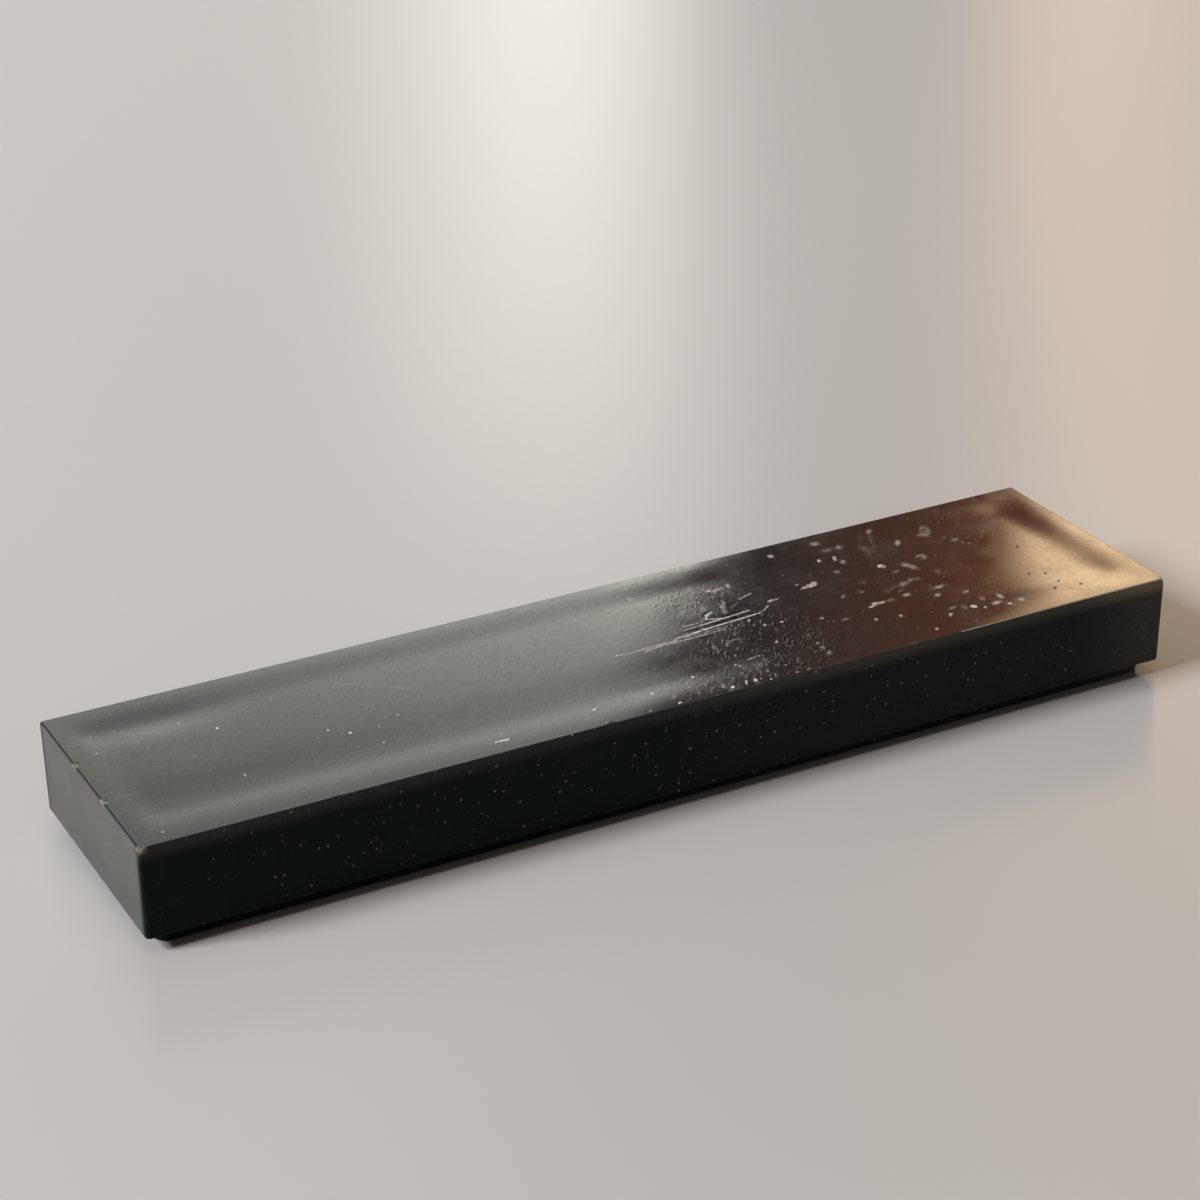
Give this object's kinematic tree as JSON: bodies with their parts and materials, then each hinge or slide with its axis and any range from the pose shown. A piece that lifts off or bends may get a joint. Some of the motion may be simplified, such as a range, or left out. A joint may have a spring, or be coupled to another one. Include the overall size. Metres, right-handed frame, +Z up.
{
  "type": "metal tile",
  "caption": "Small flat rectangular metal tile with a mirror-polished, slightly dished top face, dark satin sides and a thin stepped-in foot that it beds on.",
  "frame": {"origin": "middle of the foot's underside, the face that the tile rests on", "axes": "+X along the tile's length, +Y across its width, +Z up out of the polished face"},
  "size_m": [0.05, 0.0122, 0.0049],
  "materials": {
    "dark_metal": "polished"
  },
  "bodies": {
    "root": {"tile": "dark_metal"}
  },
  "joints": []
}
